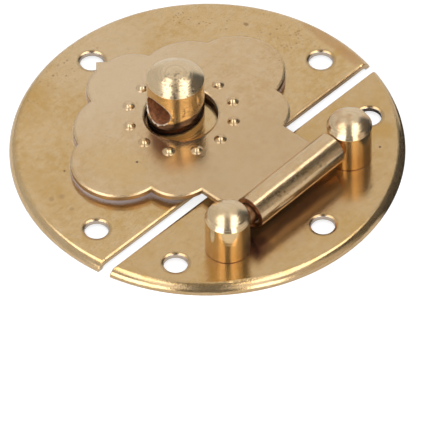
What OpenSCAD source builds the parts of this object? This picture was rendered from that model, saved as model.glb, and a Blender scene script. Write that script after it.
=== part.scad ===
// Round two-part face-plate hasp for a box.
// A disc is split into a staple plate and a hinge plate, and a scalloped tongue
// hinged on the second plate drops over the staple post of the first.
// X runs along the hinge pin, Y from the hinge towards the staple, Z out of the face.
// The origin is the centre of the disc on the surface that the plates lie on.

/* [Face plates] */
// Diameter of the whole disc
plate_d = 50; // [40:0.5:65]
// Thickness of the plates' sheet
sheet_t = 0.7; // [0.5:0.05:0.9]
// Height of the face above the surface that the rim stands on
dish_h = 1.2; // [1.1:0.05:2.5]
// Outer radius of the turned-down rim's bend, kept above the sheet's thickness
rim_bend_r = 1.3; // [0.9:0.05:1.6]
// Distance of the staple plate's straight edge from the disc's centre
split_offset = 4.87; // [3:0.1:7]
// Width of the gap between the two plates
split_gap = 1.6; // [0.6:0.1:3]
// How far sheared edges and round holes are rolled over, down from the face
edge_drop = 0.12; // [0.05:0.01:0.2]
// How wide that roll-over is, across the face
edge_run = 0.3; // [0.1:0.02:0.4]

/* [Screw holes] */
// Diameter of the screw holes
screw_hole_d = 3.06; // [2:0.1:4]
// Distance from the rim to the middle of the side holes and of the hinge plate's middle hole
screw_inset = 4.75; // [3.8:0.05:6]
// Distance from the rim to the middle of the staple plate's far hole, under the tongue's tip
far_screw_inset = 4.55; // [3.8:0.05:6]
// Distance from the rim to the middle of the hinge plate's two corner holes
corner_screw_inset = 4.05; // [3.5:0.05:6]
// Angle of the staple plate's side holes below the X axis
side_screw_angle = 1; // [0:1:5]
// Angle of the hinge plate's corner holes below the X axis
corner_screw_angle = 33.4; // [30:0.2:40]

/* [Hinge] */
// Distance from the hinge plate's straight edge back to the pin's axis
hinge_setback = 7.8; // [7:0.1:9]
// Height of the pin's axis above the face
pin_axis_h = 3.35; // [3.2:0.05:4]
// Clear distance between the two hinge posts
post_spacing = 16.18; // [14:0.1:20]
// Diameter of the hinge posts
hinge_post_d = 5.76; // [5.2:0.1:6.6]
// Height of a hinge post's straight stem above the face
hinge_stem_h = 5.4; // [5.2:0.1:7]
// Outer radius of the barrel that the tongue's end is rolled into
barrel_r = 2.18; // [1.8:0.02:2.6]
// Play between the two posts and the ends of the barrel, both ends together
barrel_play = 1.08; // [0.5:0.02:1.6]
// How far the tongue has slid along the pin from the middle
tongue_slide = 0.4; // [0:0.02:0.4]
// Depth of the blind hole for the pin in each post
pin_hole_depth = 2; // [1.2:0.1:2.4]

/* [Staple] */
// Distance of the staple post's axis from the disc's centre
staple_y = 5.55; // [5:0.05:6]
// Diameter of the staple post
staple_d = 7.32; // [6.4:0.02:7.6]
// Height of the staple's straight stem above the face
staple_stem_h = 7.7; // [7.2:0.1:9]
// Rise of the staple's domed head above its stem
staple_dome_rise = 1.25; // [0.8:0.05:2]
// Diameter of the cross hole for a shackle or a peg
cross_hole_d = 4.1; // [3:0.1:4.4]
// Height of the cross hole's axis above the face
cross_hole_h = 4.35; // [4.2:0.05:5]

/* [Tongue] */
// Radial clearance of the tongue's hole around the staple
staple_play = 0.99; // [0.9:0.01:1.4]
// How far the middle of that hole lies behind the staple's, towards the hinge
hole_setback = 0.42; // [0:0.02:0.6]
// How far the hole and its bumps sit to the right of the tongue's middle
hole_offset = 0.5; // [0:0.05:0.5]
// Distance from the middle of the hole to the point of the tip
tip_reach = 14.33; // [14:0.01:16]
// Distance from the hole's edge to the ring of the bumps' middles
bump_inset = 2.15; // [1.4:0.05:2.6]
// Number of embossed bumps
bump_count = 12; // [8:1:14]
// Diameter of a bump at its foot
bump_d = 1.56; // [1.2:0.02:1.8]
// Height of a bump
bump_h = 0.45; // [0.3:0.05:0.6]

/* [Clearances] */
// Radial clearance of the loose barrel on the pin
pin_running_fit = 0.19; // [0.03:0.01:0.2]
// Radial clearance of the pin in the posts and of the rivet shanks in the plates
seat_fit = 0.02; // [0:0.01:0.03]
// Clearance under the tip of the tongue where it lies on the staple plate
tip_rest_gap = 0.06; // [0.03:0.01:0.2]
// Gap at the seam of the rolled barrel
seam_gap = 0.12; // [0.06:0.02:0.2]

/* [Hidden] */
$fn = 96;
overcut = 1;

plate_r = plate_d / 2;
back_h = dish_h - sheet_t;

// The bend keeps an inner radius above nought. A bend deeper than the rim ends at the rim's foot.
inner_bend_least_r = 0.1;
bend_r = max(rim_bend_r, sheet_t + inner_bend_least_r);
bend_z = dish_h - bend_r;
bend_reach = bend_z < 0 ? sqrt(bend_r * bend_r - bend_z * bend_z) : bend_r;

staple_edge_y = -split_offset;
hinge_edge_y = -split_offset - split_gap;
hinge_y = hinge_edge_y - hinge_setback;
pin_z = dish_h + pin_axis_h;
pin_r = barrel_r - sheet_t - pin_running_fit;
hinge_post_r = hinge_post_d / 2;
hinge_post_x = post_spacing / 2 + hinge_post_r;
screw_r = screw_hole_d / 2;
screw_circle_r = plate_r - screw_inset;
corner_screw_r = plate_r - corner_screw_inset;

// Rivet shanks and the heads peened over on the back, kept clear of the surface.
hinge_shank_r = 1.6;
hinge_rivet_r = 2.4;
staple_shank_r = 2.2;
staple_rivet_r = 3.3;
rivet_floor_gap = 0.15;
rivet_head_h = back_h - rivet_floor_gap;

// Heads of the hinge posts: a steep band under a shallow dome.
band_rise = 0.66;
band_inset = 0.36;
cap_rise = 0.74;

// The hole follows the staple, and the outline follows the hole's distance from the hinge axis.
tongue_hole_r = staple_d / 2 + staple_play;
tongue_hole_y = staple_y - hinge_y - hole_setback;
tongue_reach = tongue_hole_y + tip_reach;
bump_ring_r = tongue_hole_r + bump_inset;
dimple_depth = 0.35;
dimple_r = 0.6;

// Tongue outline: [half spacing, distance from the hinge axis, radius] of each pair of lobes.
neck_half_w = (post_spacing - barrel_play) / 2;
shoulder_lobe = [6.88, tongue_hole_y - 6.44, 4.7];
side_lobe = [10.65, tongue_hole_y + 0.05, 6.29];
upper_lobe = [6.04, tongue_hole_y + 3.82, 6.35];
crown_lobe = [1.13, tongue_hole_y + 8.93, 4.38];
tip_half_w = 1.06;
tip_rise = 1.01;

// Angle by which the loose barrel lets the tongue turn until it leans on the pin at both ends.
pin_contact_gap = 0.03;
tongue_twist = asin((pin_running_fit - pin_contact_gap) / neck_half_w);

// Angle by which the tongue leans down until its tip lies on the staple plate.
tip_arm = norm([tongue_reach, barrel_r]);
tongue_droop = asin((pin_axis_h - tip_rest_gap) / tip_arm) - atan(barrel_r / tongue_reach);

// Radius of the sphere whose cap has this rise on a foot of this radius.
function cap_sphere_r(foot_r, rise) = (foot_r * foot_r + rise * rise) / (2 * rise);

// Half section of a dished plate: flat face, bend and, where the rim is deep enough, a skirt.
module dish_section() {
    bend_x = plate_r - bend_reach;
    intersection() {
        union() {
            translate([0, back_h])
                square([bend_x, sheet_t]);
            translate([bend_x + bend_r - sheet_t, -overcut])
                square([sheet_t, bend_z + overcut]);
            translate([bend_x, bend_z])
                intersection() {
                    difference() {
                        circle(r = bend_r);
                        circle(r = bend_r - sheet_t);
                    }
                    square(bend_r);
                }
        }
        square([plate_r, dish_h]);
    }
}

module dished_disc() {
    rotate_extrude()
        dish_section();
}

// Half space on one side of a straight cut, with the face's edge rolled over.
module straight_cut(edge_y, side) {
    span = plate_d + 2 * overcut;
    depth = dish_h + 2 * overcut;
    translate([-span / 2, side > 0 ? edge_y : edge_y - span, -overcut])
        cube([span, span, depth]);
    translate([-span / 2, 0, 0])
        rotate([90, 0, 90])
            linear_extrude(span)
                polygon([
                    [edge_y - 2 * side * edge_run, dish_h + edge_drop],
                    [edge_y + side * edge_run, dish_h - 2 * edge_drop],
                    [edge_y + side * edge_run, dish_h + edge_drop]
                ]);
}

// Round hole through the face, with its upper edge rolled over.
module face_hole(x, y, r) {
    translate([x, y, -overcut])
        cylinder(r = r, h = dish_h + 2 * overcut);
    translate([x, y, dish_h - edge_drop])
        cylinder(r1 = r, r2 = r + 2 * edge_run, h = 2 * edge_drop);
}

module plain_hole(x, y, r) {
    translate([x, y, -overcut])
        cylinder(r = r, h = dish_h + 2 * overcut);
}

module staple_plate() {
    side_x = screw_circle_r * cos(side_screw_angle);
    side_y = -screw_circle_r * sin(side_screw_angle);
    color("burlywood")
        difference() {
            dished_disc();
            straight_cut(staple_edge_y, -1);
            for (side = [-1, 1])
                face_hole(side * side_x, side_y, screw_r);
            face_hole(0, plate_r - far_screw_inset, screw_r);
            plain_hole(0, staple_y, staple_shank_r + seat_fit);
        }
}

module hinge_plate() {
    corner_x = corner_screw_r * cos(corner_screw_angle);
    corner_y = -corner_screw_r * sin(corner_screw_angle);
    color("tan")
        difference() {
            dished_disc();
            straight_cut(hinge_edge_y, 1);
            for (side = [-1, 1]) {
                face_hole(side * corner_x, corner_y, screw_r);
                plain_hole(side * hinge_post_x, hinge_y, hinge_shank_r + seat_fit);
            }
            face_hole(0, -screw_circle_r, screw_r);
        }
}

// Shallow round cap with its flat foot at z = 0.
module shallow_cap(foot_r, rise) {
    ball_r = cap_sphere_r(foot_r, rise);
    rotate_extrude()
        intersection() {
            translate([0, rise - ball_r])
                circle(r = ball_r);
            square([foot_r, rise]);
        }
}

// Stem of a post standing on the face, with its shank and the head peened over on the back.
module riveted_stem(r, stem_h, shank_r, rivet_r) {
    cylinder(r = r, h = stem_h);
    translate([0, 0, -sheet_t])
        cylinder(r = shank_r, h = sheet_t);
    translate([0, 0, -sheet_t])
        mirror([0, 0, 1])
            shallow_cap(rivet_r, rivet_head_h);
}

module staple_post() {
    color("goldenrod")
        translate([0, staple_y, dish_h])
            difference() {
                union() {
                    riveted_stem(staple_d / 2, staple_stem_h, staple_shank_r, staple_rivet_r);
                    translate([0, 0, staple_stem_h])
                        shallow_cap(staple_d / 2, staple_dome_rise);
                }
                translate([0, 0, cross_hole_h])
                    rotate([0, 90, 0])
                        cylinder(r = cross_hole_d / 2, h = staple_d + 2 * overcut, center = true);
            }
}

// Steep band and shallow dome on top of a hinge post.
module banded_head() {
    band_r = hinge_post_r - band_inset;
    cylinder(r1 = hinge_post_r, r2 = band_r, h = band_rise);
    translate([0, 0, band_rise])
        shallow_cap(band_r, cap_rise);
}

// Hinge post with its blind pin hole facing the middle of the plate.
module hinge_post(side) {
    hole_start = hinge_post_x - post_spacing / 2 - pin_hole_depth;
    translate([side * hinge_post_x, hinge_y, dish_h])
        mirror([side > 0 ? 1 : 0, 0, 0])
            difference() {
                union() {
                    riveted_stem(hinge_post_r, hinge_stem_h, hinge_shank_r, hinge_rivet_r);
                    translate([0, 0, hinge_stem_h])
                        banded_head();
                }
                translate([hole_start, 0, pin_axis_h])
                    rotate([0, 90, 0])
                        cylinder(r = pin_r + seat_fit, h = pin_hole_depth + overcut);
            }
}

module hinge_post_left() {
    color("gold")
        hinge_post(-1);
}

module hinge_post_right() {
    color("gold")
        hinge_post(1);
}

module hinge_pin() {
    end_gap = 0.1;
    pin_l = post_spacing + 2 * (pin_hole_depth - end_gap);
    color("darkkhaki")
        translate([-pin_l / 2, hinge_y, pin_z])
            rotate([0, 90, 0])
                cylinder(r = pin_r, h = pin_l);
}

// Disc of the tongue's sheet with its upper edge rolled over.
module lobe_disc(lobe) {
    translate([lobe[0], lobe[1], -barrel_r]) {
        cylinder(r = lobe[2], h = sheet_t - edge_drop);
        translate([0, 0, sheet_t - edge_drop])
            cylinder(r1 = lobe[2], r2 = lobe[2] - edge_run, h = edge_drop);
    }
}

// Section of the neck, with both upper edges rolled over.
module neck_section() {
    polygon([
        [-neck_half_w, 0],
        [neck_half_w, 0],
        [neck_half_w, sheet_t - edge_drop],
        [neck_half_w - edge_run, sheet_t],
        [-neck_half_w + edge_run, sheet_t],
        [-neck_half_w, sheet_t - edge_drop]
    ]);
}

// Sheet that joins the middles of the lobes and carries the pointed tip.
module tongue_core() {
    tip_foot_y = tongue_reach - tip_rise;
    half = [
        [shoulder_lobe[0], shoulder_lobe[1]],
        [side_lobe[0], side_lobe[1]],
        [upper_lobe[0], upper_lobe[1]],
        [crown_lobe[0], crown_lobe[1]],
        [tip_half_w, tip_foot_y]
    ];
    other_half = [for (i = [len(half) - 1 : -1 : 0]) [-half[i][0], half[i][1]]];
    translate([0, 0, -barrel_r])
        linear_extrude(sheet_t)
            polygon(concat(half, [[0, tongue_reach]], other_half));
}

// Section of the end rolled round the pin, open at a seam above the flat.
module roll_section() {
    inner_r = barrel_r - sheet_t;
    difference() {
        circle(r = barrel_r);
        circle(r = inner_r);
        translate([0, -inner_r])
            square([barrel_r, seam_gap]);
    }
}

module bump() {
    foot_depth = sheet_t / 2;
    cap_r = bump_d / 2;
    shallow_cap(cap_r, bump_h);
    translate([0, 0, -foot_depth])
        cylinder(r = cap_r, h = foot_depth);
}

// Tongue about its own hinge axis, lying flat before it leans down on its tip.
module tongue_flat() {
    face_z = -barrel_r + sheet_t;
    hole_z = face_z - edge_drop;
    dimple_ball_r = cap_sphere_r(dimple_r, dimple_depth);
    difference() {
        union() {
            tongue_core();
            for (lobe = [shoulder_lobe, side_lobe, upper_lobe, crown_lobe]) {
                lobe_disc(lobe);
                mirror([1, 0, 0])
                    lobe_disc(lobe);
            }
            translate([0, shoulder_lobe[1], -barrel_r])
                rotate([90, 0, 0])
                    linear_extrude(shoulder_lobe[1])
                        neck_section();
            translate([-neck_half_w, 0, 0])
                rotate([90, 0, 90])
                    linear_extrude(2 * neck_half_w)
                        roll_section();
            for (i = [0 : bump_count - 1])
                rotate_about_hole(i)
                    translate([0, 0, face_z])
                        bump();
        }
        translate([hole_offset, tongue_hole_y, -barrel_r - overcut])
            cylinder(r = tongue_hole_r, h = sheet_t + 2 * overcut);
        translate([hole_offset, tongue_hole_y, hole_z])
            cylinder(r1 = tongue_hole_r, r2 = tongue_hole_r + 2 * edge_run, h = 2 * edge_drop);
        for (i = [0 : bump_count - 1])
            rotate_about_hole(i)
                translate([0, 0, -barrel_r - dimple_ball_r + dimple_depth])
                    sphere(r = dimple_ball_r);
    }
}

// Puts its child on the bump ring, at one of its equal steps.
module rotate_about_hole(step) {
    turn = step * 360 / bump_count;
    x = hole_offset + bump_ring_r * cos(turn);
    translate([x, tongue_hole_y + bump_ring_r * sin(turn), 0])
        children();
}

module tongue() {
    color("wheat")
        translate([tongue_slide, hinge_y, pin_z])
            rotate([-tongue_droop, 0, tongue_twist])
                tongue_flat();
}

staple_plate();
staple_post();
hinge_plate();
hinge_post_left();
hinge_post_right();
hinge_pin();
tongue();
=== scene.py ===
import math
import random
import bpy
import bmesh
from mathutils import Matrix, Vector


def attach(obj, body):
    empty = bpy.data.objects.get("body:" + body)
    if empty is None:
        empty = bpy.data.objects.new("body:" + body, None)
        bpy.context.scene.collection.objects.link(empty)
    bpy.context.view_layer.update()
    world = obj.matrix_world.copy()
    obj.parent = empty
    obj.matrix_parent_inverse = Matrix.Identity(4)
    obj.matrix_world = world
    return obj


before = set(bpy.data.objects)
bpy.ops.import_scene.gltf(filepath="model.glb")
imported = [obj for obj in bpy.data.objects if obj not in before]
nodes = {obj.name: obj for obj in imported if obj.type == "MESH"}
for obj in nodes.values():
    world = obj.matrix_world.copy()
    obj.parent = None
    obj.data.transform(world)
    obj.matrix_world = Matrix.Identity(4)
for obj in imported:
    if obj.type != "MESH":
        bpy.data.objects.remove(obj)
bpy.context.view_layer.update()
mm = 0.001
print("frame loaded:", sorted(nodes))


# Small helpers for node trees. A value is a number, a tuple or another node's socket.
def add(tree, kind, **settings):
    node = tree.nodes.new(kind)
    for key, value in settings.items():
        setattr(node, key, value)
    return node


def plug(tree, value, socket):
    if isinstance(value, bpy.types.NodeSocket):
        tree.links.new(value, socket)
    elif value is not None:
        socket.default_value = value


def math2(tree, operation, a, b=None):
    node = add(tree, "ShaderNodeMath", operation=operation)
    plug(tree, a, node.inputs[0])
    plug(tree, b, node.inputs[1])
    return node.outputs[0]


def plus(tree, a, b):
    return math2(tree, "ADD", a, b)


def minus(tree, a, b):
    return math2(tree, "SUBTRACT", a, b)


def times(tree, a, b):
    return math2(tree, "MULTIPLY", a, b)


def over(tree, a, b):
    return math2(tree, "DIVIDE", a, b)


def inverse(tree, mask):
    return minus(tree, 1.0, mask)


def scaled(tree, value, factor, start):
    # start + value * factor
    node = add(tree, "ShaderNodeMath", operation="MULTIPLY_ADD")
    for given, socket in zip((value, factor, start), node.inputs):
        plug(tree, given, socket)
    return node.outputs[0]


def vector2(tree, operation, a, b=None):
    node = add(tree, "ShaderNodeVectorMath", operation=operation)
    plug(tree, a, node.inputs[0])
    plug(tree, b, node.inputs[1])
    return node.outputs["Value" if operation in ("LENGTH", "DOT_PRODUCT") else "Vector"]


def split(tree, vector):
    node = add(tree, "ShaderNodeSeparateXYZ")
    plug(tree, vector, node.inputs[0])
    return node.outputs


def join(tree, x, y, z=0.0):
    node = add(tree, "ShaderNodeCombineXYZ")
    for value, socket in zip((x, y, z), node.inputs):
        plug(tree, value, socket)
    return node.outputs[0]


def ramp(tree, value, low, high, toLow=0.0, toHigh=1.0):
    # a soft border: toLow below low, toHigh above high
    node = add(tree, "ShaderNodeMapRange", interpolation_type="SMOOTHSTEP", clamp=True)
    plug(tree, value, node.inputs["Value"])
    plug(tree, low, node.inputs["From Min"])
    plug(tree, high, node.inputs["From Max"])
    plug(tree, toLow, node.inputs["To Min"])
    plug(tree, toHigh, node.inputs["To Max"])
    return node.outputs["Result"]


def fall(tree, value, low, high):
    # the same border the other way: 1 below low, 0 above high
    return ramp(tree, value, low, high, 1.0, 0.0)


def mixFloat(tree, factor, a, b):
    node = add(tree, "ShaderNodeMix", data_type="FLOAT")
    plug(tree, factor, node.inputs[0])
    plug(tree, a, node.inputs[2])
    plug(tree, b, node.inputs[3])
    return node.outputs[0]


def mixColor(tree, factor, a, b):
    node = add(tree, "ShaderNodeMix", data_type="RGBA")
    plug(tree, factor, node.inputs[0])
    plug(tree, a, node.inputs[6])
    plug(tree, b, node.inputs[7])
    return node.outputs[2]


def noise(tree, vector, scale, detail, roughness):
    node = add(tree, "ShaderNodeTexNoise")
    plug(tree, vector, node.inputs["Vector"])
    plug(tree, scale, node.inputs["Scale"])
    plug(tree, detail, node.inputs["Detail"])
    plug(tree, roughness, node.inputs["Roughness"])
    return node.outputs[0]


def objectPlace(tree):
    return add(tree, "ShaderNodeTexCoord").outputs["Object"]


def rgb(color):
    return (*color, 1.0)


# helpers for the pieces of the set
def newObject(name, mesh):
    thing = bpy.data.objects.new(name, mesh)
    bpy.context.scene.collection.objects.link(thing)
    return thing


def setMaterial(mesh, name):
    # an empty material whose glow isn't sampled as a lamp; gives its tree and the surface socket
    material = bpy.data.materials.new(name)
    material.use_nodes = True
    material.cycles.emission_sampling = "NONE"
    tree = material.node_tree
    tree.nodes.clear()
    mesh.materials.append(material)
    return tree, add(tree, "ShaderNodeOutputMaterial").inputs["Surface"]


# camera at the photograph's viewing angle
cameraView = {
    "azimuth": -45.464, "elevation": 47.331, "roll": -0.42,
    "distance": 1.5, "target": (-8.062 * mm, -10.074 * mm, 0.04 * mm), "clip": (0.1, 10),
    "focalPixels": 11958.4, "sensorWidth": 36.0, "longSidePixels": 447,
}


def makeCamera(view):
    a, e, r = (math.radians(view[k]) for k in ("azimuth", "elevation", "roll"))
    back = Vector((math.sin(a) * math.cos(e), -math.cos(a) * math.cos(e), math.sin(e)))
    right = Vector((math.cos(a), math.sin(a), 0))
    up = back.cross(right)
    rolledRight = right * math.cos(r) + up * math.sin(r)
    rolledUp = up * math.cos(r) - right * math.sin(r)
    data = bpy.data.cameras.new("photoCamera")
    data.sensor_width = view["sensorWidth"]
    data.lens = view["focalPixels"] * view["sensorWidth"] / view["longSidePixels"]
    data.clip_start, data.clip_end = view["clip"]
    camera = newObject("photoCamera", data)
    turn = Matrix((rolledRight, rolledUp, back)).transposed().to_4x4()
    camera.matrix_world = Matrix.Translation(Vector(view["target"]) + back * view["distance"]) @ turn
    bpy.context.scene.camera = camera


makeCamera(cameraView)
print("camera set")


# A light tent round the object. Its cloth glows by direction: side, near and up are as seen from
# the camera's place, and each pair of numbers is where a soft border starts and ends.
tentLook = {
    "radius": 0.8, "segments": 96, "rings": 48, "turn": -45.46,
    "wall": 0.66, "farWall": 0.745, "leftWall": 0.58, "nearWall": 0.5,
    "farBorder": (-0.7, -0.4), "leftBorder": (-0.6, -0.2), "nearBorder": (0.2, 0.6),
    "leftStrip": 2.5, "rightStrip": 2.8, "dimStrip": 1.25, "lowStrip": 3.4,
    "stripSides": (-0.01, 0.01), "stripDip": (0.30, 0.48), "stripStart": (-0.42, -0.30),
    "stripInner": (0.14, 0.20), "stripOuter": (0.42, 0.52),
    "lowOuter": (0.70, 0.86), "lowRise": (0.35, 0.55), "lowNear": (0.2, 0.5),
    "slot": 0.16, "slotHalf": (0.09, 0.19), "slotNear": (0.24, 0.36), "slotStart": (-0.30, -0.10),
    "flag": 0.085, "flagNear": 0.65, "flagLift": (0.05, 0.36),
    "flagEdge": (0.45, 0.58), "flagSlope": 0.12, "flagFar": (-0.82, -0.68),
    "flagTint": (1.0, 0.93, 0.84), "flagFarTint": (0.62, 0.78, 1.0), "flagTurn": (-0.62, -0.35),
}


def makeTent(look):
    mesh = bpy.data.meshes.new("lightTent")
    shape = bmesh.new()
    bmesh.ops.create_uvsphere(shape, u_segments=look["segments"], v_segments=look["rings"],
                              radius=look["radius"])
    underground = [v for v in shape.verts if v.co.z < -mm]
    bmesh.ops.delete(shape, geom=underground, context="VERTS")
    shape.to_mesh(mesh)
    shape.free()
    tent = newObject("lightTent", mesh)
    tent.rotation_euler.z = math.radians(look["turn"])
    tent.visible_camera = False
    tent.visible_shadow = False
    tree, surface = setMaterial(mesh, "tentCloth")
    side, far, up = split(tree, vector2(tree, "NORMALIZE", objectPlace(tree)))
    near = times(tree, far, -1.0)
    spread = math2(tree, "ABSOLUTE", side)

    # the cloth itself
    level = mixFloat(tree, fall(tree, near, *look["farBorder"]), look["wall"], look["farWall"])
    level = mixFloat(tree, fall(tree, side, *look["leftBorder"]), level, look["leftWall"])
    level = mixFloat(tree, ramp(tree, near, *look["nearBorder"]), level, look["nearWall"])

    # two long softboxes overhead either side of the camera, dimmer halfway down and wider low down
    low = times(tree, fall(tree, up, *look["lowRise"]), ramp(tree, near, *look["lowNear"]))
    strip = mixFloat(tree, ramp(tree, side, *look["stripSides"]), look["leftStrip"], look["rightStrip"])
    strip = mixFloat(tree, ramp(tree, near, *look["stripDip"]), strip, look["dimStrip"])
    strip = mixFloat(tree, low, strip, look["lowStrip"])
    outer = fall(tree, spread, *look["stripOuter"])
    outer = mixFloat(tree, low, outer, fall(tree, spread, *look["lowOuter"]))
    inner = ramp(tree, spread, *look["stripInner"])
    inner = mixFloat(tree, low, inner, ramp(tree, spread, *look["slotNear"]))
    inStrip = times(tree, times(tree, inner, outer), ramp(tree, near, *look["stripStart"]))
    level = mixFloat(tree, inStrip, level, strip)

    # the dark slit between them, where the camera looks in
    slot = fall(tree, spread, *look["slotHalf"])
    slot = mixFloat(tree, low, slot, fall(tree, spread, *look["slotNear"]))
    slot = times(tree, slot, ramp(tree, near, *look["slotStart"]))
    level = mixFloat(tree, slot, level, look["slot"])

    # a dark flag on the right, lighter toward the camera and bluish at its far end
    edge = minus(tree, side, times(tree, near, look["flagSlope"]))
    flag = times(tree, ramp(tree, edge, *look["flagEdge"]), ramp(tree, near, *look["flagFar"]))
    flagLevel = mixFloat(tree, ramp(tree, near, *look["flagLift"]), look["flag"], look["flagNear"])
    level = mixFloat(tree, flag, level, flagLevel)
    warmth = ramp(tree, near, *look["flagTurn"])
    tint = mixColor(tree, warmth, rgb(look["flagFarTint"]), rgb(look["flagTint"]))

    glow = add(tree, "ShaderNodeEmission")
    plug(tree, mixColor(tree, flag, rgb((1, 1, 1)), tint), glow.inputs["Color"])
    plug(tree, level, glow.inputs["Strength"])
    plug(tree, glow.outputs[0], surface)


# A low dark card bent round the disc between two turns in degrees. Only reflections see it, and
# it darkens the right-hand rim.
cardLook = {
    "radius": 0.036, "height": 0.007, "from": -16, "to": 22, "steps": 24, "glow": (0.03, 0.032, 0.042),
}


def makeCard(look):
    mesh = bpy.data.meshes.new("darkCard")
    points, faces = [], []
    for i in range(look["steps"] + 1):
        turn = look["from"] + (look["to"] - look["from"]) * i / look["steps"]
        turn = math.radians(turn + tentLook["turn"])
        x, y = look["radius"] * math.cos(turn), look["radius"] * math.sin(turn)
        points += [(x, y, 0.0), (x, y, look["height"])]
    for i in range(look["steps"]):
        faces.append((2 * i, 2 * i + 2, 2 * i + 3, 2 * i + 1))
    mesh.from_pydata(points, [], faces)
    card = newObject("darkCard", mesh)
    card.visible_camera = card.visible_diffuse = card.visible_shadow = card.visible_transmission = False
    tree, surface = setMaterial(mesh, "darkCard")
    glow = add(tree, "ShaderNodeEmission")
    plug(tree, rgb(look["glow"]), glow.inputs["Color"])
    plug(tree, glow.outputs[0], surface)


# White paper under the object: white to the camera, dimmer in the metal's reflections. At the
# right a patch of it is nearly dark in them; the patch's soft borders are in metres.
floorLook = {
    "radius": 1.2, "segments": 96, "below": 0.02 * mm,
    "seenPaper": 0.45, "seenGlow": 0.78, "reflectedPaper": 0.75, "reflectedGlow": 0.1,
    "patch": 0.04, "patchRight": (0.010, 0.022), "patchFar": (0.006, 0.014), "patchNear": (-0.0135, -0.0105),
}


def makeFloor(look):
    mesh = bpy.data.meshes.new("whiteFloor")
    shape = bmesh.new()
    bmesh.ops.create_circle(shape, cap_ends=True, segments=look["segments"], radius=look["radius"])
    shape.to_mesh(mesh)
    shape.free()
    floor = newObject("whiteFloor", mesh)
    floor.location.z = -look["below"]
    floor.rotation_euler.z = math.radians(tentLook["turn"])
    tree, surface = setMaterial(mesh, "whitePaper")
    side, far = split(tree, objectPlace(tree))[:2]
    patch = times(tree, ramp(tree, side, *look["patchRight"]), fall(tree, far, *look["patchFar"]))
    patch = times(tree, patch, ramp(tree, far, *look["patchNear"]))
    dim = mixFloat(tree, patch, 1.0, look["patch"])

    path = add(tree, "ShaderNodeLightPath")
    reflected = math2(tree, "MAXIMUM", path.outputs["Is Glossy Ray"], path.outputs["Is Transmission Ray"])
    seen = times(tree, path.outputs["Is Camera Ray"], look["seenGlow"])
    mirrored = times(tree, times(tree, reflected, look["reflectedGlow"]), dim)
    paper = add(tree, "ShaderNodeBsdfDiffuse")
    paperLevel = mixFloat(tree, reflected, look["seenPaper"], times(tree, dim, look["reflectedPaper"]))
    plug(tree, paperLevel, paper.inputs["Color"])
    glow = add(tree, "ShaderNodeEmission")
    plug(tree, plus(tree, seen, mirrored), glow.inputs["Strength"])
    both = add(tree, "ShaderNodeAddShader")
    plug(tree, paper.outputs[0], both.inputs[0])
    plug(tree, glow.outputs[0], both.inputs[1])
    plug(tree, both.outputs[0], surface)


def makeWorld():
    world = bpy.data.worlds.new("whiteRoom")
    bpy.context.scene.world = world
    world.use_nodes = True
    world.cycles.sampling_method = "NONE"
    back = world.node_tree.nodes["Background"]
    back.inputs["Color"].default_value = rgb((1, 1, 1))
    back.inputs["Strength"].default_value = 1.0


makeTent(tentLook)
makeCard(cardLook)
makeFloor(floorLook)
makeWorld()
print("light tent, card, floor and world set")


# Groups that the brasses share. Place is the object's own coordinates in metres, and every
# size, centre and radius is in mm.
def newGroup(name, inputs, *results, kind="NodeSocketFloat"):
    # inputs is {name: default}, where a tuple stands for a vector
    group = bpy.data.node_groups.new(name, "ShaderNodeTree")
    for label, default in inputs.items():
        inputKind = "NodeSocketVector" if isinstance(default, tuple) else "NodeSocketFloat"
        group.interface.new_socket(name=label, in_out="INPUT", socket_type=inputKind).default_value = default
    for label in results:
        group.interface.new_socket(name=label, in_out="OUTPUT", socket_type=kind)
    given = group.nodes.new("NodeGroupInput").outputs
    result = group.nodes.new("NodeGroupOutput").inputs
    return group, given, result


def inMillimetres(tree, place):
    node = add(tree, "ShaderNodeVectorMath", operation="SCALE")
    plug(tree, place, node.inputs[0])
    node.inputs["Scale"].default_value = 1 / mm
    return node.outputs[0]


def shake(group, where, scale, amount):
    # a noise about zero that makes borders ragged
    waves = noise(group, where, scale, detail=3.0, roughness=0.6)
    return times(group, minus(group, waves, 0.5), amount)


def makeVeilGroup():
    # slow cloudy patches, 0 to 1
    group, given, result = newGroup("tarnishVeil", {
        "Place": (0, 0, 0), "Size": 6.0, "From": 0.4, "To": 0.65}, "Mask")
    where = inMillimetres(group, given["Place"])
    cloud = noise(group, where, over(group, 1.0, given["Size"]), detail=4.0, roughness=0.6)
    plug(group, ramp(group, cloud, given["From"], given["To"]), result["Mask"])
    return group


def makePitGroup():
    # scattered small specks, on a random share of the cells
    group, given, result = newGroup("finePits", {
        "Place": (0, 0, 0), "Spacing": 1.2, "Share": 0.3, "Width": 0.1}, "Mask")
    cells = add(group, "ShaderNodeTexVoronoi", feature="F1")
    plug(group, inMillimetres(group, given["Place"]), cells.inputs["Vector"])
    plug(group, over(group, 1.0, given["Spacing"]), cells.inputs["Scale"])
    chance = add(group, "ShaderNodeSeparateColor")
    plug(group, cells.outputs["Color"], chance.inputs[0])
    chosen = math2(group, "LESS_THAN", chance.outputs[0], given["Share"])
    size = times(group, chance.outputs[1], given["Width"])
    dot = fall(group, cells.outputs["Distance"], times(group, size, 0.5), size)
    plug(group, times(group, dot, chosen), result["Mask"])
    return group


def makeGrainGroup():
    # brushed lines along X, with a finer grit over them
    group, given, result = newGroup("brushedGrain", {
        "Place": (0, 0, 0), "Length": 4.0, "Width": 0.12, "Grit": 0.3, "GritScale": 5.0}, "Height")
    where = inMillimetres(group, given["Place"])
    x, y, z = split(group, where)
    stretched = join(group, over(group, x, given["Length"]), over(group, y, given["Width"]),
                     over(group, z, given["Width"]))
    lines = noise(group, stretched, scale=1.0, detail=2.0, roughness=0.6)
    grit = noise(group, where, given["GritScale"], detail=3.0, roughness=0.6)
    plug(group, mixFloat(group, given["Grit"], lines, grit), result["Height"])
    return group


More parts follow.
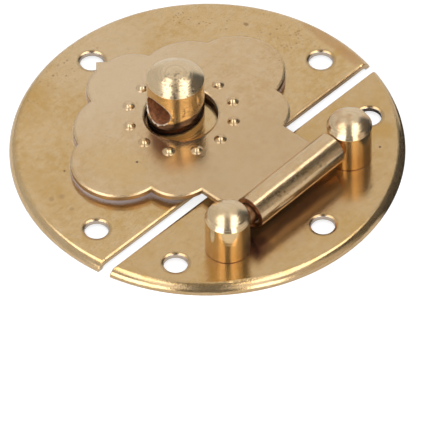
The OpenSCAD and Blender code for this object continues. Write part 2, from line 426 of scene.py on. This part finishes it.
def makeTurnedGroup():
    # tool marks of the lathe: rings about the upright axis through Centre, uneven round the turn
    group, given, result = newGroup("turnedRings", {
        "Place": (0, 0, 0), "Centre": (0, 0, 0), "Pitch": 0.25, "Wobble": 2.0}, "Height", "Radius")
    offset = vector2(group, "SUBTRACT", inMillimetres(group, given["Place"]), given["Centre"])
    x, y, z = split(group, offset)
    radius = vector2(group, "LENGTH", join(group, x, y))
    wobble = times(group, noise(group, offset, scale=0.35, detail=1.0, roughness=0.5), given["Wobble"])
    ring = join(group, over(group, radius, given["Pitch"]), over(group, z, given["Pitch"]), wobble)
    plug(group, noise(group, ring, scale=1.0, detail=2.0, roughness=0.5), result["Height"])
    plug(group, radius, result["Radius"])
    return group


def makeStainAndShadeGroup():
    # one ragged patch, for a stain and for painted shade: 1 inside Radius, fading over Soft; Stretch widens
    # it along each axis
    group, given, result = newGroup("stainAndShadeSpot", {
        "Place": (0, 0, 0), "Centre": (0, 0, 0), "Stretch": (1, 1, 1),
        "Radius": 1.0, "Soft": 1.0, "Ragged": 0.5}, "Mask")
    where = inMillimetres(group, given["Place"])
    offset = vector2(group, "SUBTRACT", where, given["Centre"])
    away = vector2(group, "LENGTH", vector2(group, "DIVIDE", offset, given["Stretch"]))
    away = plus(group, away, shake(group, where, scale=0.9, amount=given["Ragged"]))
    end = plus(group, given["Radius"], given["Soft"])
    plug(group, fall(group, away, given["Radius"], end), result["Mask"])
    return group


def makeBandGroup():
    # a band between two heights, with a ragged border; Upward leans it
    group, given, result = newGroup("levelBand", {
        "Place": (0, 0, 0), "Low": 0.0, "High": 1.0, "Soft": 0.1, "Ragged": 0.0, "Upward": (0, 0, 1)}, "Mask")
    where = inMillimetres(group, given["Place"])
    rise = vector2(group, "DOT_PRODUCT", where, given["Upward"])
    rise = plus(group, rise, shake(group, where, scale=0.8, amount=given["Ragged"]))
    aboveLow = ramp(group, rise, minus(group, given["Low"], given["Soft"]), given["Low"])
    belowHigh = fall(group, rise, given["High"], plus(group, given["High"], given["Soft"]))
    plug(group, times(group, aboveLow, belowHigh), result["Mask"])
    return group


def makeCutEdgeGroup():
    # sheared side walls, told from the faces by their own upright direction
    group, given, result = newGroup("cutEdge", {"Direction": (0, 0, 0), "From": 0.3, "To": 0.6}, "Mask")
    upright = math2(group, "ABSOLUTE", split(group, given["Direction"])[2])
    plug(group, fall(group, upright, given["From"], given["To"]), result["Mask"])
    return group


def makeCreviceGroup():
    # dirt and painted shade where surfaces stand close together
    group, given, result = newGroup("creviceDirtAndShade", {"Reach": 0.5, "From": 0.2, "To": 0.7}, "Mask")
    shade = add(group, "ShaderNodeAmbientOcclusion", samples=8)
    plug(group, times(group, given["Reach"], mm), shade.inputs["Distance"])
    plug(group, fall(group, shade.outputs["AO"], given["From"], given["To"]), result["Mask"])
    return group


def makeSoftEdgeGroup():
    # the normal of slightly rounded edges
    group, given, result = newGroup("softEdge", {"Radius": 0.1}, "Normal", kind="NodeSocketVector")
    rounded = add(group, "ShaderNodeBevel", samples=6)
    plug(group, times(group, given["Radius"], mm), rounded.inputs["Radius"])
    plug(group, rounded.outputs[0], result["Normal"])
    return group


groups = {
    "veil": makeVeilGroup(), "pits": makePitGroup(), "grain": makeGrainGroup(),
    "turned": makeTurnedGroup(), "stainAndShade": makeStainAndShadeGroup(), "band": makeBandGroup(),
    "cutEdge": makeCutEdgeGroup(), "crevice": makeCreviceGroup(), "softEdge": makeSoftEdgeGroup(),
}
print("brass groups made:", sorted(groups))


def use(tree, groupName, **values):
    node = add(tree, "ShaderNodeGroup", node_tree=groups[groupName])
    for key, value in values.items():
        plug(tree, value, node.inputs[key])
    return node.outputs


def stainAndShadeMask(tree, place, stainAndShade):
    return use(tree, "stainAndShade", Place=place, Centre=stainAndShade["at"], Stretch=stainAndShade.get("stretch", (1, 1, 1)),
               Radius=stainAndShade["radius"], Soft=stainAndShade["soft"], Ragged=stainAndShade.get("ragged", 0.6))["Mask"]


def layer(tree, color, mask, amount, tone):
    # a tone over the colour so far, where the mask lies
    return mixColor(tree, times(tree, mask, amount), color, rgb(tone))


def findMasks(tree, place, look):
    # where each effect lies on a piece; marks also gives the height of its tool marks
    masks = {
        "veil": use(tree, "veil", Place=place, Size=look["veilSize"])["Mask"],
        "mottle": use(tree, "veil", Place=place, Size=look["mottleSize"], **look["mottleBorder"])["Mask"],
        "pits": use(tree, "pits", Place=place, Spacing=look["pitSpacing"], Share=look["pitShare"])["Mask"],
        "crevice": use(tree, "crevice", Reach=look["creviceReach"], To=look["creviceTo"])["Mask"],
    }
    if "axis" in look:
        masks["marks"] = use(tree, "turned", Place=place, Centre=look["axis"], Pitch=look["pitch"])
    else:
        masks["marks"] = use(tree, "grain", Place=place, Length=look["grainLength"],
                             Width=look["grainWidth"], Grit=look["grit"])
    if "head" in look:
        head = look["head"]
        masks["head"] = use(tree, "band", Place=place, Low=head["from"], High=head["to"])["Mask"]
    if "cut" in look:
        cut = use(tree, "cutEdge", Direction=add(tree, "ShaderNodeTexCoord").outputs["Normal"])["Mask"]
        masks["cut"] = times(tree, cut, inverse(tree, stainAndShadeMask(tree, place, look["smooth"])))
    return masks


def brassColor(tree, place, look, masks):
    color = layer(tree, rgb(look["tone"]), masks["veil"], look["veil"], look["tarnish"])
    color = layer(tree, color, masks["mottle"], look["mottle"], look["pale"])
    streaks = ramp(tree, masks["marks"]["Height"], *look["streakBorder"])
    color = layer(tree, color, streaks, look["streak"], look["dirtAndShade"])
    if "cut" in look:
        color = layer(tree, color, masks["cut"], look["cut"]["dark"], look["dirtAndShade"])
    for stainAndShade in look["stainsAndShades"]:
        color = layer(tree, color, stainAndShadeMask(tree, place, stainAndShade), stainAndShade["amount"], stainAndShade["tone"])
    for zone in look.get("specks", []):
        dots = use(tree, "pits", Place=place, Spacing=zone["spacing"], Share=zone["share"],
                   Width=zone["width"])
        dotsInZone = times(tree, dots["Mask"], stainAndShadeMask(tree, place, zone))
        color = layer(tree, color, dotsInZone, zone["amount"], zone["tone"])
    for band in look.get("bands", []):
        inBand = use(tree, "band", Place=place, **band["where"])["Mask"]
        color = layer(tree, color, inBand, band["amount"], band["tone"])
    color = layer(tree, color, masks["crevice"], look["crevice"], look["dirtAndShade"])
    return layer(tree, color, masks["pits"], look["pits"], look["dirtAndShade"])


def brassHeight(tree, place, look, masks):
    height = times(tree, masks["marks"]["Height"], look["markDepth"])
    if "head" in look:
        height = times(tree, height, scaled(tree, masks["head"], look["head"]["marks"], 1.0))
    if "rimLines" in look:
        lines = look["rimLines"]
        rings = use(tree, "turned", Place=place, Pitch=lines["pitch"])
        depth = times(tree, rings["Height"], lines["depth"])
        height = plus(tree, height, times(tree, depth, ramp(tree, rings["Radius"], *lines["border"])))
    return minus(tree, height, times(tree, masks["pits"], look["pitDepth"]))


def brassRough(tree, place, look, masks):
    rough = scaled(tree, masks["veil"], look["veilRough"], look["rough"])
    rough = plus(tree, rough, times(tree, masks["crevice"], look["creviceRough"]))
    rough = plus(tree, rough, times(tree, masks["pits"], look["pitRough"]))
    if "head" in look:
        rough = plus(tree, rough, times(tree, masks["head"], look["head"]["rough"]))
    for key in ("smooth", "rubbed"):
        if key in look:
            rough = mixFloat(tree, stainAndShadeMask(tree, place, look[key]), rough, look[key]["rough"])
    if "cut" in look:
        rough = mixFloat(tree, masks["cut"], rough, look["cut"]["rough"])
    return rough


def boreFinishAndFootGlint(tree, place, look, masks, color, height, rough):
    # the drilled wall of the staple's cross hole, dull and red-brown
    bore, foot = look["bore"], look["foot"]
    offset = vector2(tree, "SUBTRACT", inMillimetres(tree, place), bore["at"])
    away = vector2(tree, "LENGTH", vector2(tree, "MULTIPLY", offset, (0, 1, 1)))  # from its axis along X
    near = fall(tree, away, *(bore["radius"] + reach for reach in bore["edge"]))
    within = fall(tree, masks["marks"]["Radius"], *(bore["post"] - depth for depth in bore["skin"]))
    inside = times(tree, near, within)
    shade = use(tree, "veil", Place=place, Size=bore["shadeSize"], **look["mottleBorder"])["Mask"]
    wall = mixColor(tree, shade, rgb(bore["tone"]), rgb(bore["dark"]))
    color = mixColor(tree, inside, color, wall)
    height = times(tree, height, scaled(tree, inside, bore["relief"], 1.0))
    rough = mixFloat(tree, inside, rough, bore["rough"])
    metal = scaled(tree, inside, bore["metal"] - look["metal"], look["metal"])

    # and the warm glint at the staple's foot
    atFoot = use(tree, "band", Place=place, **foot["where"])["Mask"]
    color = mixColor(tree, atFoot, color, rgb(foot["tone"]))
    rough = mixFloat(tree, atFoot, rough, foot["rough"])
    return color, height, rough, mixFloat(tree, atFoot, metal, foot["metal"])


def paintedGapReflectionFinish(tree, place, look, color, rough):
    # a pale matt layer painted where another piece lies close over this one: a painted reflection in the gap
    # under that piece
    paintedGapReflection = look["paintedGapReflection"]
    mask = use(tree, "crevice", **paintedGapReflection["where"])["Mask"]
    mask = times(tree, mask, inverse(tree, stainAndShadeMask(tree, place, paintedGapReflection["except"])))
    color = mixColor(tree, mask, color, rgb(paintedGapReflection["tone"]))
    rough = mixFloat(tree, mask, rough, paintedGapReflection["rough"])
    return color, rough, times(tree, inverse(tree, mask), look["metal"])


def brass(name, look):
    material = bpy.data.materials.new(name)
    material.use_nodes = True
    tree = material.node_tree
    shader = tree.nodes["Principled BSDF"]
    place = objectPlace(tree)
    masks = findMasks(tree, place, look)
    color = brassColor(tree, place, look, masks)
    height = brassHeight(tree, place, look, masks)
    rough = brassRough(tree, place, look, masks)
    metal = look["metal"]
    if "bore" in look:
        color, height, rough, metal = boreFinishAndFootGlint(tree, place, look, masks, color, height, rough)
    if "paintedGapReflection" in look:
        color, rough, metal = paintedGapReflectionFinish(tree, place, look, color, rough)
    bump = add(tree, "ShaderNodeBump")
    bump.inputs["Distance"].default_value = mm
    plug(tree, height, bump.inputs["Height"])
    plug(tree, use(tree, "softEdge", Radius=look["softEdge"])["Normal"], bump.inputs["Normal"])
    plug(tree, bump.outputs[0], shader.inputs["Normal"])
    plug(tree, color, shader.inputs["Base Color"])
    plug(tree, rough, shader.inputs["Roughness"])
    plug(tree, metal, shader.inputs["Metallic"])
    return material


def cover(name, material):
    mesh = nodes[name].data
    mesh.materials.clear()
    mesh.materials.append(material)
    print(name, "is in", material.name)


# tones that several pieces share
# dirt, and painted shade in crevices and by the staple
dirtAndShadeTone = (0.16, 0.085, 0.055)
# painted shade under and beside the barrel
purpleBrown = (0.20, 0.115, 0.10)
amber = (0.66, 0.40, 0.13)
# brown spots, and painted shade beside the barrel
spotAndShadeBrown = (0.45, 0.27, 0.13)
copperStain = (0.50, 0.235, 0.095)

# places in the CAD that the looks refer to, in mm
plateTop = 1.2
staplePlateScrews = [(-20.25, -0.35), (20.25, -0.35), (0.0, 20.45)]
hingePlateScrews = [(-17.49, -11.53), (17.49, -11.53), (0.0, -20.25)]
stapleHole = {"at": (0.0, 5.55, 5.55), "radius": 2.05, "post": 3.66}
hingeY, hingeZ = -14.27, 4.55
hingePostX = 10.97

# what all the brass starts from
brassLook = {
    "metal": 0.93, "dirtAndShade": dirtAndShadeTone, "mottleBorder": {"From": 0.3, "To": 0.7}, "streakBorder": (0.5, 0.72),
    "creviceRough": 0.15, "pitRough": 0.2, "stainsAndShades": [],
}


# Marks and painted shade. Each is {at, stretch, radius, soft, ragged, amount, tone}, where stretch and ragged
# may be left out, and a zone of specks has spacing, share and width too.
def spot(x, y, radius, soft, ragged, amount, tone=spotAndShadeBrown):
    # a small spot on a plate's face: most are marks, and the one by the staple is painted shade
    return {"at": (x, y, plateTop), "radius": radius, "soft": soft, "ragged": ragged,
            "amount": amount, "tone": tone}


def screwHole(x, y):
    # the lip of a screw hole, painted darker as painted shade that dims its highlight, and its punched wall,
    # rubbed pale
    hole = {"at": (x, y, 0.8), "stretch": (1, 1, 30)}
    return [{**hole, "radius": 1.9, "soft": 0.14, "ragged": 0.1, "amount": 0.45, "tone": (0.44, 0.29, 0.15)},
            {**hole, "radius": 1.56, "soft": 0.06, "ragged": 0.0, "amount": 0.7, "tone": (0.80, 0.70, 0.64)}]


platesLook = {
    **brassLook, "tone": (0.755, 0.515, 0.245), "tarnish": (0.68, 0.43, 0.155), "pale": (0.80, 0.60, 0.37),
    "softEdge": 0.16, "rough": 0.12, "veilRough": 0.05,
    "veilSize": 6.0, "veil": 0.85, "mottleSize": 1.0, "mottle": 0.5, "streak": 0.3,
    "creviceReach": 0.35, "creviceTo": 0.6, "crevice": 0.6,
    "pitSpacing": 1.3, "pitShare": 0.25, "pits": 0.75, "pitDepth": 0.003,
    "grainLength": 1.6, "grainWidth": 0.2, "grit": 0.6, "markDepth": 0.018,
    "rimLines": {"border": (23.45, 23.75), "pitch": 0.26, "depth": 0.028},
    # the rim's flank painted darker, a painted shade that dims its reflections
    "bands": [{"where": {"Low": -1.0, "High": 0.95, "Soft": 0.15, "Ragged": 0.1}, "amount": 0.28,
               "tone": (0.55, 0.44, 0.31)}],
}

hingePlateLook = {
    **platesLook, "tone": (0.70, 0.475, 0.225), "pale": (0.74, 0.525, 0.30),
    "metal": 0.9, "rough": 0.09, "veilRough": 0.04,
    "stainsAndShades": [
        # painted shade beside the barrel, where the plate mirrors its dark underside
        {"at": (0.0, -17.3, plateTop), "stretch": (5, 1, 1), "radius": 0.8, "soft": 1.6, "ragged": 0.5,
         "amount": 0.45, "tone": purpleBrown},
        spot(16.9, -14.4, 0.6, 1.6, 1.6, 0.75, amber),
        # the browner outer edge of that painted shade
        {"at": (0.0, -19.0, plateTop), "stretch": (6, 1, 1), "radius": 0.4, "soft": 2.2, "ragged": 1.2,
         "amount": 0.3, "tone": spotAndShadeBrown},
        spot(14.57, -16.19, 0.08, 0.16, 0.1, 0.9, dirtAndShadeTone),
        # painted shade between the left post and the barrel's left end
        {"at": (-8.44, -16.73, plateTop), "stretch": (1.3, 1.3, 1), "radius": 0.7, "soft": 1.3, "ragged": 0.8,
         "amount": 0.75, "tone": (0.17, 0.09, 0.09)},
        *(mark for x, y in hingePlateScrews for mark in screwHole(x, y))],
    "specks": [
        {"at": (0.0, -17.5, plateTop), "stretch": (6, 1.2, 1), "radius": 1.0, "soft": 2.0,
         "spacing": 0.9, "share": 0.3, "width": 0.2, "amount": 0.6, "tone": dirtAndShadeTone},
        {"at": (-7.6, -16.5, plateTop), "radius": 0.8, "soft": 1.2, "ragged": 1.0,
         "spacing": 0.4, "share": 0.5, "width": 0.25, "amount": 0.6, "tone": (0.86, 0.74, 0.66)}],
}
cover("hinge_plate", brass("hingePlateBrass", hingePlateLook))

staplePlateLook = {
    **platesLook,
    "stainsAndShades": [
        # amber tarnish, and a dark spot beside the tongue
        {"at": (21.5, -0.9, plateTop), "stretch": (2.6, 0.5, 1), "radius": 0.4, "soft": 1.2, "ragged": 1.0,
         "amount": 0.7, "tone": amber},
        {"at": (-19.5, 9.0, plateTop), "stretch": (1, 3, 1), "radius": 0.6, "soft": 2.4, "ragged": 1.6,
         "amount": 0.35, "tone": amber},
        spot(-15.97, 9.53, 0.06, 0.14, 0.1, 0.9, dirtAndShadeTone),
        {"at": (-9.5, 21.3, plateTop), "stretch": (3, 1.2, 1), "radius": 0.5, "soft": 1.4, "ragged": 1.4,
         "amount": 0.5, "tone": amber},
        {"at": (-12.4, 19.2, plateTop), "stretch": (2, 1, 1), "radius": 0.5, "soft": 2.0, "ragged": 1.4,
         "amount": 0.35, "tone": amber},
        # brown spots
        spot(-19.34, 6.68, 0.12, 0.5, 0.8, 0.55),
        spot(-20.56, 7.37, 0.1, 0.4, 0.8, 0.5),
        spot(-19.97, 4.29, 0.08, 0.35, 0.8, 0.5),
        spot(-14.32, 3.12, 0.1, 0.5, 0.6, 0.6),
        spot(-3.73, 19.77, 0.06, 0.16, 0.2, 0.8),
        spot(4.66, 18.61, 0.06, 0.16, 0.2, 0.8),
        spot(-3.51, 23.0, 0.06, 0.2, 0.2, 0.7),
        # painted shade by the staple where the tongue shades the plate, a paler far side, a copper tinge on
        # the rim and painted shade that dims the cut edge's highlight
        spot(-2.2, 8.7, 0.9, 0.5, 0.4, 0.85, dirtAndShadeTone),
        {"at": (2.0, 20.5, plateTop), "stretch": (2.2, 1, 1), "radius": 2.0, "soft": 3.5, "ragged": 1.5,
         "amount": 0.5, "tone": (0.80, 0.61, 0.39)},
        {"at": (23.6, 1.6, 1.0), "stretch": (0.8, 4, 2), "radius": 0.6, "soft": 0.9, "ragged": 0.5,
         "amount": 0.6, "tone": (0.60, 0.33, 0.14)},
        {"at": (23.4, -3.0, 1.0), "stretch": (0.8, 1.6, 2), "radius": 0.6, "soft": 0.9, "ragged": 0.5,
         "amount": 0.6, "tone": (0.60, 0.33, 0.14)},
        {"at": (14.0, -4.8, 1.0), "stretch": (9, 0.32, 2), "radius": 0.8, "soft": 0.4, "ragged": 0.4,
         "amount": 0.6, "tone": (0.40, 0.24, 0.12)},
        # and one more spot near the rim
        {**spot(18.21, 10.88, 0.18, 0.2, 0.4, 0.9), "stretch": (1, 1.3, 1)},
        *(mark for x, y in staplePlateScrews for mark in screwHole(x, y))],
    "specks": [
        # along the rim, then faint ones all over, then at the right end
        {**spot(13.32, 17.48, 0.7, 0.9, 1.0, 0.9), "spacing": 0.42, "share": 0.85, "width": 0.5},
        {**spot(14.79, 15.19, 0.8, 1.0, 1.0, 0.9), "spacing": 0.45, "share": 0.85, "width": 0.5},
        {**spot(16.18, 12.98, 0.6, 0.9, 1.0, 0.9), "spacing": 0.42, "share": 0.8, "width": 0.5},
        {**spot(21.71, 5.23, 0.6, 1.0, 1.0, 0.85), "spacing": 0.45, "share": 0.8, "width": 0.5},
        {**spot(-6.0, 21.2, 1.2, 1.6, 1.0, 0.8), "stretch": (4, 1, 1),
         "spacing": 0.6, "share": 0.6, "width": 0.4},
        {"at": (0.0, 0.0, plateTop), "radius": 30.0, "soft": 1.0, "spacing": 0.5, "share": 0.5, "width": 0.5,
         "amount": 0.2, "tone": (0.58, 0.38, 0.18)},
        {**spot(20.0, 4.5, 1.0, 1.6, 1.0, 0.8), "stretch": (1, 3, 1),
         "spacing": 0.5, "share": 0.6, "width": 0.45}],
    # a pale layer painted in the gap under the tongue, a painted reflection
    "paintedGapReflection": {"where": {"Reach": 1.3, "From": 0.42, "To": 0.6}, "tone": (0.96, 0.94, 1.0), "rough": 0.6,
             "except": {"at": (0.4, 5.8, plateTop), "radius": 5.4, "soft": 0.4, "ragged": 0.2}},
}
cover("staple_plate", brass("staplePlateBrass", staplePlateLook))

tongueLook = {
    **brassLook, "tone": (0.75, 0.525, 0.285), "tarnish": (0.69, 0.455, 0.215), "pale": (0.81, 0.62, 0.41),
    "softEdge": 0.14, "rough": 0.21, "veilRough": 0.04, "cut": {"rough": 0.35, "dark": 0.45},
    "veilSize": 5.0, "veil": 0.75, "mottleSize": 1.2, "mottle": 0.5, "streak": 0.15,
    "creviceReach": 0.3, "creviceTo": 0.45, "crevice": 0.5,
    "pitSpacing": 1.3, "pitShare": 0.12, "pits": 0.6, "pitDepth": 0.0015,
    "grainLength": 3.0, "grainWidth": 0.22, "grit": 0.5, "markDepth": 0.022,
    # the barrel, and the polished patch in front of the staple
    "smooth": {"at": (0.4, hingeY, hingeZ), "stretch": (12, 1, 1), "radius": 2.35, "soft": 0.5, "ragged": 0.0,
               "rough": 0.15},
    "rubbed": {"at": (-2.4, 0.3, 2.5), "radius": 2.4, "soft": 2.6, "ragged": 1.0, "rough": 0.12},
    "stainsAndShades": [
        # broad changes of tone: the tip, the neck, the left side and beside the staple
        {"at": (0.0, 18.0, 2.0), "stretch": (1.6, 1, 1), "radius": 4.0, "soft": 9.0, "ragged": 2.0,
         "amount": 0.85, "tone": (0.81, 0.615, 0.40)},
        {"at": (0.0, -7.0, 2.8), "stretch": (2, 1, 1), "radius": 3.0, "soft": 7.0, "ragged": 2.0,
         "amount": 0.6, "tone": (0.655, 0.465, 0.265)},
        {"at": (-11.5, 4.5, 2.4), "stretch": (1, 1.4, 1), "radius": 1.0, "soft": 4.0, "ragged": 2.0,
         "amount": 0.55, "tone": (0.73, 0.50, 0.22)},
        {"at": (-5.6, -0.7, 2.6), "stretch": (2, 1, 1), "radius": 0.4, "soft": 1.2, "ragged": 1.4,
         "amount": 0.3, "tone": (0.62, 0.36, 0.22)},
        {"at": (-2.83, 1.8, 2.0), "radius": 2.2, "soft": 1.6, "ragged": 0.8, "amount": 0.8,
         "tone": (0.79, 0.57, 0.33)},
        # painted shade on the underside and on the wall of the hole
        {"at": (0.5, 5.1, 1.45), "stretch": (7, 7, 0.55), "radius": 1.0, "soft": 0.15, "ragged": 0.1,
         "amount": 0.6, "tone": (0.22, 0.12, 0.09)},
        {"at": (0.54, 5.11, 2.4), "stretch": (1, 1, 30), "radius": 4.67, "soft": 0.03, "ragged": 0.0,
         "amount": 0.92, "tone": (0.05, 0.028, 0.03)},
        # painted shade under the barrel, on its left end and in the notch at the right, and a speck of dirt
        {"at": (0.4, hingeY, 2.0), "stretch": (9, 2.4, 1), "radius": 0.9, "soft": 0.5, "ragged": 0.2,
         "amount": 0.35, "tone": purpleBrown},
        {"at": (-7.2, hingeY, 4.4), "stretch": (0.16, 3, 3), "radius": 1.0, "soft": 0.3, "ragged": 0.1,
         "amount": 0.85, "tone": (0.27, 0.12, 0.07)},
        {"at": (13.0, -0.1, 2.25), "stretch": (1.6, 1.5, 0.27), "radius": 0.8, "soft": 0.3, "ragged": 0.05,
         "amount": 0.85, "tone": (0.16, 0.08, 0.055)},
        {"at": (-9.38, 3.19, 2.5), "radius": 0.08, "soft": 0.14, "ragged": 0.1,
         "amount": 0.9, "tone": dirtAndShadeTone}],
    "specks": [
        {"at": (0.0, 0.0, 2.5), "radius": 30.0, "soft": 1.0, "spacing": 0.42, "share": 0.5, "width": 0.55,
         "amount": 0.28, "tone": (0.60, 0.40, 0.24)},
        {"at": (0.4, -15.89, 6.01), "stretch": (9, 1, 1), "radius": 0.5, "soft": 0.6, "ragged": 0.8,
         "spacing": 0.42, "share": 0.8, "width": 0.75, "amount": 0.45, "tone": (0.30, 0.20, 0.10)}],
}
cover("tongue", brass("tongueBrass", tongueLook))

# turned posts: a duller head, a warm stem and a dark line of painted contact shade where the post meets the
# plate
postLook = {
    **brassLook, "tone": (0.81, 0.62, 0.385), "tarnish": (0.77, 0.545, 0.29), "pale": (0.83, 0.65, 0.43),
    "softEdge": 0.12, "rough": 0.08, "veilRough": 0.03,
    "veilSize": 3.0, "veil": 0.6, "mottleSize": 0.5, "mottle": 0.5, "streak": 0.12,
    "creviceReach": 0.35, "creviceTo": 0.6, "crevice": 0.8,
    "pitSpacing": 0.8, "pitShare": 0.2, "pits": 0.6, "pitDepth": 0.006,
    "pitch": 0.25, "markDepth": 0.014,
    "head": {"from": 6.65, "to": 50.0, "rough": 0.09, "marks": 1.0},
    "bands": [{"where": {"Low": 1.3, "High": 6.6, "Soft": 0.1}, "amount": 0.6, "tone": (0.88, 0.60, 0.27)},
              # a dark line of painted contact shade at the post's foot
              {"where": {"Low": 1.1, "High": 1.27, "Soft": 0.08, "Ragged": 0.1}, "amount": 0.9,
               "tone": (0.30, 0.085, 0.05)}],
}

leftPostLook = {
    **postLook, "axis": (-hingePostX, hingeY, 0.0),
    "stainsAndShades": [{"at": (-hingePostX, hingeY, plateTop), "stretch": (3.2, 3.2, 1), "radius": 0.6, "soft": 2.6,
                "amount": 0.4, "tone": copperStain}],
}
cover("hinge_post_left", brass("leftPostBrass", leftPostLook))

rightPostLook = {
    **postLook, "axis": (hingePostX, hingeY, 0.0), "tarnish": (0.60, 0.32, 0.14),
    "veilSize": 1.6, "veil": 0.8, "mottleSize": 0.4,
    "stainsAndShades": [{"at": (hingePostX, hingeY, plateTop), "stretch": (3.2, 3.2, 1), "radius": 1.6, "soft": 3.2,
                "amount": 0.8, "tone": copperStain},
               {"at": (12.5, -16.0, 4.0), "radius": 0.8, "soft": 1.6, "ragged": 1.4,
                "amount": 0.5, "tone": (0.36, 0.16, 0.10)}],
}
cover("hinge_post_right", brass("rightPostBrass", rightPostLook))

# the staple's dark band of painted shade and the painted glint at its foot both dip toward -X and +Y
leaning = (-0.196, 0.2, 1.0)
staplePostLook = {
    **postLook, "axis": (0.0, 5.55, 0.0), "pitch": 0.36, "markDepth": 0.02, "crevice": 0.25,
    "head": {"from": 8.95, "to": 50.0, "rough": 0.1, "marks": 0.7},
    "specks": [{"at": (-1.5, 3.8, 9.6), "radius": 1.9, "soft": 0.8, "ragged": 1.0,
                "spacing": 0.4, "share": 0.95, "width": 0.75, "amount": 0.6, "tone": (0.27, 0.20, 0.12)}],
    "bands": [{"where": {"Low": 1.3, "High": 8.85, "Soft": 0.1}, "amount": 0.65, "tone": (0.88, 0.60, 0.27)},
              # a dark band of painted shade round the stem
              {"where": {"Low": 3.75, "High": 5.4, "Soft": 0.45, "Ragged": 0.6, "Upward": leaning},
               "amount": 0.93, "tone": (0.09, 0.05, 0.048)}],
    # a painted glint at the foot
    "foot": {"where": {"Low": 2.3, "High": 3.0, "Soft": 0.6, "Ragged": 0.3, "Upward": leaning},
             "tone": (0.98, 0.57, 0.18), "rough": 0.35, "metal": 0.5},
    "bore": {**stapleHole, "edge": (0.02, 0.06), "skin": (0.12, 0.04), "relief": 4.0,
             "rough": 0.5, "metal": 0.25, "shadeSize": 0.5,
             "tone": (0.62, 0.27, 0.11), "dark": (0.30, 0.12, 0.055)},
}
cover("staple_post", brass("staplePostBrass", staplePostLook))

pinLook = {
    **postLook, "tone": (0.42, 0.24, 0.12), "tarnish": (0.36, 0.19, 0.09), "pale": (0.46, 0.28, 0.15),
    "axis": (0.0, hingeY, 0.0), "rough": 0.3, "bands": [],
}
cover("hinge_pin", brass("pinBrass", pinLook))
print("brass on every piece")


# The drill left a thin ragged burr round both mouths of the staple's cross hole: a bent wire
# that is thickest at the bottom. Sizes are in mm, and waves are counts of bumps round the hole.
burrLook = {
    **stapleHole, "steps": 120, "sides": 8, "thin": 0.02, "thick": 0.15, "least": 0.012,
    "shake": 0.12, "waves": (4, 7, 11, 17, 26), "waveSize": (0.5, 1.0), "waveFade": 0.25, "calm": 1.5,
    "even": 0.4, "uneven": 0.9,
}
burrBrassLook = {
    **postLook, "tone": (0.86, 0.72, 0.58), "tarnish": (0.78, 0.60, 0.46), "pale": (0.90, 0.80, 0.70),
    "axis": (0.0, 5.55, 0.0), "metal": 0.5, "rough": 0.3, "crevice": 0.0, "bands": [],
}


def makeBurr(name, side, look, material, seed):
    dice = random.Random(seed)
    waves = [(n, dice.uniform(0, 2 * math.pi), dice.uniform(*look["waveSize"]) / n ** look["waveFade"])
             for n in look["waves"]]
    points, faces = [], []
    for i in range(look["steps"]):
        turn = 2 * math.pi * i / look["steps"]
        ragged = sum(size * math.sin(n * turn + start) for n, start, size in waves) / look["calm"]
        reach = look["radius"] + look["shake"] * ragged
        y, z = reach * math.cos(turn), reach * math.sin(turn)
        x = side * math.sqrt(look["post"] ** 2 - y * y)
        out = Vector((x, y, 0)).normalized()
        across = Vector((0, math.cos(turn), math.sin(turn)))
        lower = 0.5 - 0.5 * math.sin(turn)
        swell = lower * (look["even"] + look["uneven"] * ragged)
        radius = max(look["least"], look["thin"] + (look["thick"] - look["thin"]) * swell)
        centre = Vector(look["at"]) + Vector((x, y, z))
        for j in range(look["sides"]):
            angle = 2 * math.pi * j / look["sides"]
            points.append((centre + (out * math.cos(angle) + across * math.sin(angle)) * radius) * mm)
    count = look["sides"]
    for i in range(look["steps"]):
        after = (i + 1) % look["steps"]
        for j in range(count):
            k = (j + 1) % count
            faces.append((i * count + j, i * count + k, after * count + k, after * count + j))
    mesh = bpy.data.meshes.new(name)
    mesh.from_pydata(points, [], faces)
    for face in mesh.polygons:
        face.use_smooth = True
    shape = bmesh.new()
    shape.from_mesh(mesh)
    bmesh.ops.recalc_face_normals(shape, faces=shape.faces)
    shape.to_mesh(mesh)
    shape.free()
    mesh.materials.append(material)
    burr = newObject(name, mesh)
    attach(burr, "plates")


burrBrass = brass("burrBrass", burrBrassLook)
makeBurr("boreBurrLeft", side=-1, look=burrLook, material=burrBrass, seed=11)
makeBurr("boreBurrRight", side=1, look=burrLook, material=burrBrass, seed=12)
print("burr round the cross hole added")

bpy.context.scene.view_settings.view_transform = "Standard"
